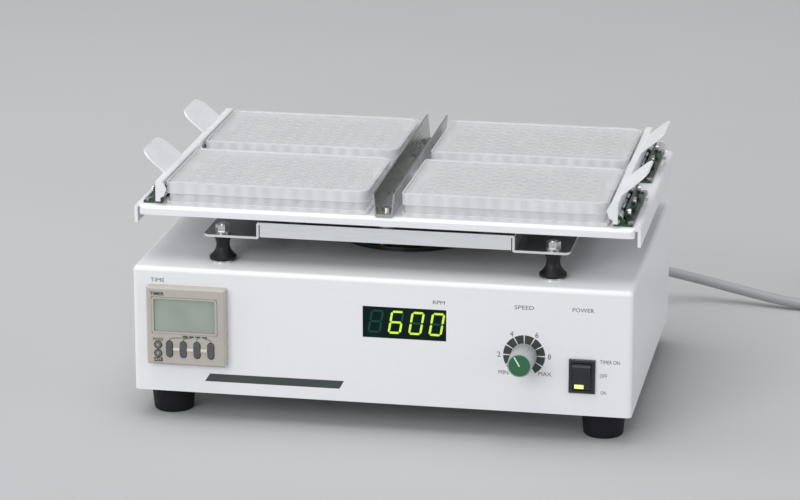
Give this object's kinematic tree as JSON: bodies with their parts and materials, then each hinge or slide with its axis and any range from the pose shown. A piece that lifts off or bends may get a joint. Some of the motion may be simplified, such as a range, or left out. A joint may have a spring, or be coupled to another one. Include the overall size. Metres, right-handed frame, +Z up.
{
  "type": "orbital microplate shaker",
  "caption": "Benchtop orbital shaker with white folded case, orbiting tray with sprung plate clamps, panel timer, digital display, speed knob and power rocker.",
  "frame": {"origin": "centre of the outline, without the mains cord, at the level of the four feet", "axes": "+Z up, -Y towards the user and the control panel, +X to the user's right"},
  "size_m": [0.5299, 0.4656, 0.1628],
  "materials": {
    "white_enamel": "smooth gloss enamel",
    "zinc_steel": "bright zinc plate",
    "foot_rubber": "matt",
    "leg_rubber": "semi-matt",
    "black_plate": "black gloss",
    "brass": "polished",
    "motor_shell": "satin",
    "machined_steel": "turned",
    "sheet_aluminium": "fine satin",
    "deck_screw_steel": "bright",
    "stainless_sheet": "fine satin",
    "dark_bracket": "dark green-black",
    "spring_steel": "blued",
    "clear_polystyrene": "clear moulded",
    "timer_grey": "fine matt",
    "timer_lcd": "reflective display",
    "key_dark": "satin",
    "button_grey": "satin",
    "green_window": "dark filter",
    "display_board": "matt",
    "circuit_board": "solder mask",
    "potentiometer": "plated",
    "knob_grey": "satin",
    "cap_green": "satin",
    "black_gloss": "gloss",
    "rocker_black": "gloss",
    "gland_grey": "matt",
    "cord_grey": "smooth PVC",
    "plug_grey": "satin PVC"
  },
  "bodies": {
    "base": {"case_cover": "white_enamel", "base_pan": "zinc_steel", "rear_panel": "white_enamel", "case_screws": "zinc_steel", "rubber_feet": "foot_rubber", "foot_screws": "zinc_steel", "drive_flange": "black_plate", "flange_screws": "brass", "drive_motor": "motor_shell", "leg_seats": "zinc_steel", "timer_body": "timer_grey", "timer_bezel": "timer_grey", "timer_lcd": "timer_lcd", "display_window": "green_window", "display_module": "display_board", "potentiometer": "potentiometer", "switch_body": "black_gloss", "power_supply": "circuit_board", "control_board": "circuit_board", "fuse_holder": "black_gloss", "cord_gland": "gland_grey", "mains_cord": "cord_grey", "mains_cord_coil": "cord_grey", "mains_plug": "plug_grey"},
    "rotor": {"motor_shaft": "machined_steel", "eccentric_hub": "machined_steel", "counterweight": "black_plate", "bearing_inner": "machined_steel"},
    "platform": {"bearing_outer": "machined_steel", "bearing_housing": "sheet_aluminium", "housing_screws": "zinc_steel", "subframe": "sheet_aluminium", "rubber_legs": "leg_rubber", "leg_nuts": "zinc_steel", "tray": "sheet_aluminium", "tray_spacers": "sheet_aluminium", "deck_screws": "deck_screw_steel", "divider": "stainless_sheet", "clamp_brackets": "dark_bracket", "clamp_pins": "zinc_steel", "bracket_screws": "zinc_steel", "clamp_springs": "spring_steel"},
    "speed_control": {"speed_shaft": "machined_steel", "speed_knob": "knob_grey", "knob_cap": "cap_green"},
    "power_rocker": {"switch_rocker": "rocker_black"},
    "clamp_front_left": {"clamp_front_left": "stainless_sheet"},
    "clamp_front_right": {"clamp_front_right": "stainless_sheet"},
    "clamp_rear_left": {"clamp_rear_left": "stainless_sheet"},
    "clamp_rear_right": {"clamp_rear_right": "stainless_sheet"},
    "microplate_front_left": {"microplate_front_left": "clear_polystyrene"},
    "microplate_front_right": {"microplate_front_right": "clear_polystyrene"},
    "microplate_rear_left": {"microplate_rear_left": "clear_polystyrene"},
    "microplate_rear_right": {"microplate_rear_right": "clear_polystyrene"},
    "timer_key_1": {"timer_key_1": "key_dark"},
    "timer_key_2": {"timer_key_2": "key_dark"},
    "timer_key_3": {"timer_key_3": "key_dark"},
    "timer_key_4": {"timer_key_4": "key_dark"},
    "mode_button": {"mode_button": "button_grey"},
    "reset_button": {"reset_button": "button_grey"}
  },
  "joints": [
    {"name": "rotor_spin", "type": "hinge", "parent": "base", "child": "rotor", "pos_m": [0, 0, 0.1], "axis": [0, 0, 1], "continuous": true},
    {"name": "platform_orbit", "type": "hinge", "parent": "rotor", "child": "platform", "pos_m": [0, 0.0015, 0.116], "axis": [0, 0, 1], "continuous": true},
    {"name": "clamp_front_left_pivot", "type": "hinge", "parent": "platform", "child": "clamp_front_left", "pos_m": [-0.1438, -0.0501, 0.138], "axis": [0, -1, 0], "range_deg": [0, 28], "stiffness_Nm_per_rad": 0.4, "springref_deg": -20.05},
    {"name": "clamp_front_right_pivot", "type": "hinge", "parent": "platform", "child": "clamp_front_right", "pos_m": [0.1438, -0.0501, 0.138], "axis": [0, 1, 0], "range_deg": [0, 28], "stiffness_Nm_per_rad": 0.4, "springref_deg": -20.05},
    {"name": "clamp_rear_left_pivot", "type": "hinge", "parent": "platform", "child": "clamp_rear_left", "pos_m": [-0.1438, 0.0531, 0.138], "axis": [0, -1, 0], "range_deg": [0, 28], "stiffness_Nm_per_rad": 0.4, "springref_deg": -20.05},
    {"name": "clamp_rear_right_pivot", "type": "hinge", "parent": "platform", "child": "clamp_rear_right", "pos_m": [0.1438, 0.0531, 0.138], "axis": [0, 1, 0], "range_deg": [0, 28], "stiffness_Nm_per_rad": 0.4, "springref_deg": -20.05},
    {"name": "microplate_front_left_lift", "type": "slide", "parent": "platform", "child": "microplate_front_left", "axis": [0, 0, 1], "range_m": [0, 0.05]},
    {"name": "microplate_front_right_lift", "type": "slide", "parent": "platform", "child": "microplate_front_right", "axis": [0, 0, 1], "range_m": [0, 0.05]},
    {"name": "microplate_rear_left_lift", "type": "slide", "parent": "platform", "child": "microplate_rear_left", "axis": [0, 0, 1], "range_m": [0, 0.05]},
    {"name": "microplate_rear_right_lift", "type": "slide", "parent": "platform", "child": "microplate_rear_right", "axis": [0, 0, 1], "range_m": [0, 0.05]},
    {"name": "speed_knob_turn", "type": "hinge", "parent": "base", "child": "speed_control", "pos_m": [0.09, -0.118, 0.0546], "axis": [0, 1, 0], "range_deg": [-120, 180]},
    {"name": "power_rocker_tilt", "type": "hinge", "parent": "base", "child": "power_rocker", "pos_m": [0.1259, -0.1075, 0.0435], "axis": [-1, 0, 0], "range_deg": [0, 24]},
    {"name": "timer_key_1_rock", "type": "hinge", "parent": "base", "child": "timer_key_1", "pos_m": [-0.132, -0.1131, 0.0476], "axis": [1, 0, 0], "range_deg": [-4, 4], "stiffness_Nm_per_rad": 0.03},
    {"name": "timer_key_2_rock", "type": "hinge", "parent": "base", "child": "timer_key_2", "pos_m": [-0.1232, -0.1131, 0.0476], "axis": [1, 0, 0], "range_deg": [-4, 4], "stiffness_Nm_per_rad": 0.03},
    {"name": "timer_key_3_rock", "type": "hinge", "parent": "base", "child": "timer_key_3", "pos_m": [-0.1144, -0.1131, 0.0476], "axis": [1, 0, 0], "range_deg": [-4, 4], "stiffness_Nm_per_rad": 0.03},
    {"name": "timer_key_4_rock", "type": "hinge", "parent": "base", "child": "timer_key_4", "pos_m": [-0.1056, -0.1131, 0.0476], "axis": [1, 0, 0], "range_deg": [-4, 4], "stiffness_Nm_per_rad": 0.03},
    {"name": "mode_button_press", "type": "slide", "parent": "base", "child": "mode_button", "axis": [0, 1, 0], "range_m": [0, 0.0006], "stiffness_N_per_m": 600},
    {"name": "reset_button_press", "type": "slide", "parent": "base", "child": "reset_button", "axis": [0, 1, 0], "range_m": [0, 0.0006], "stiffness_N_per_m": 600}
  ],
  "couplings": [
    {"joint": "platform_orbit", "follows": "rotor_spin", "ratio": -1}
  ]
}
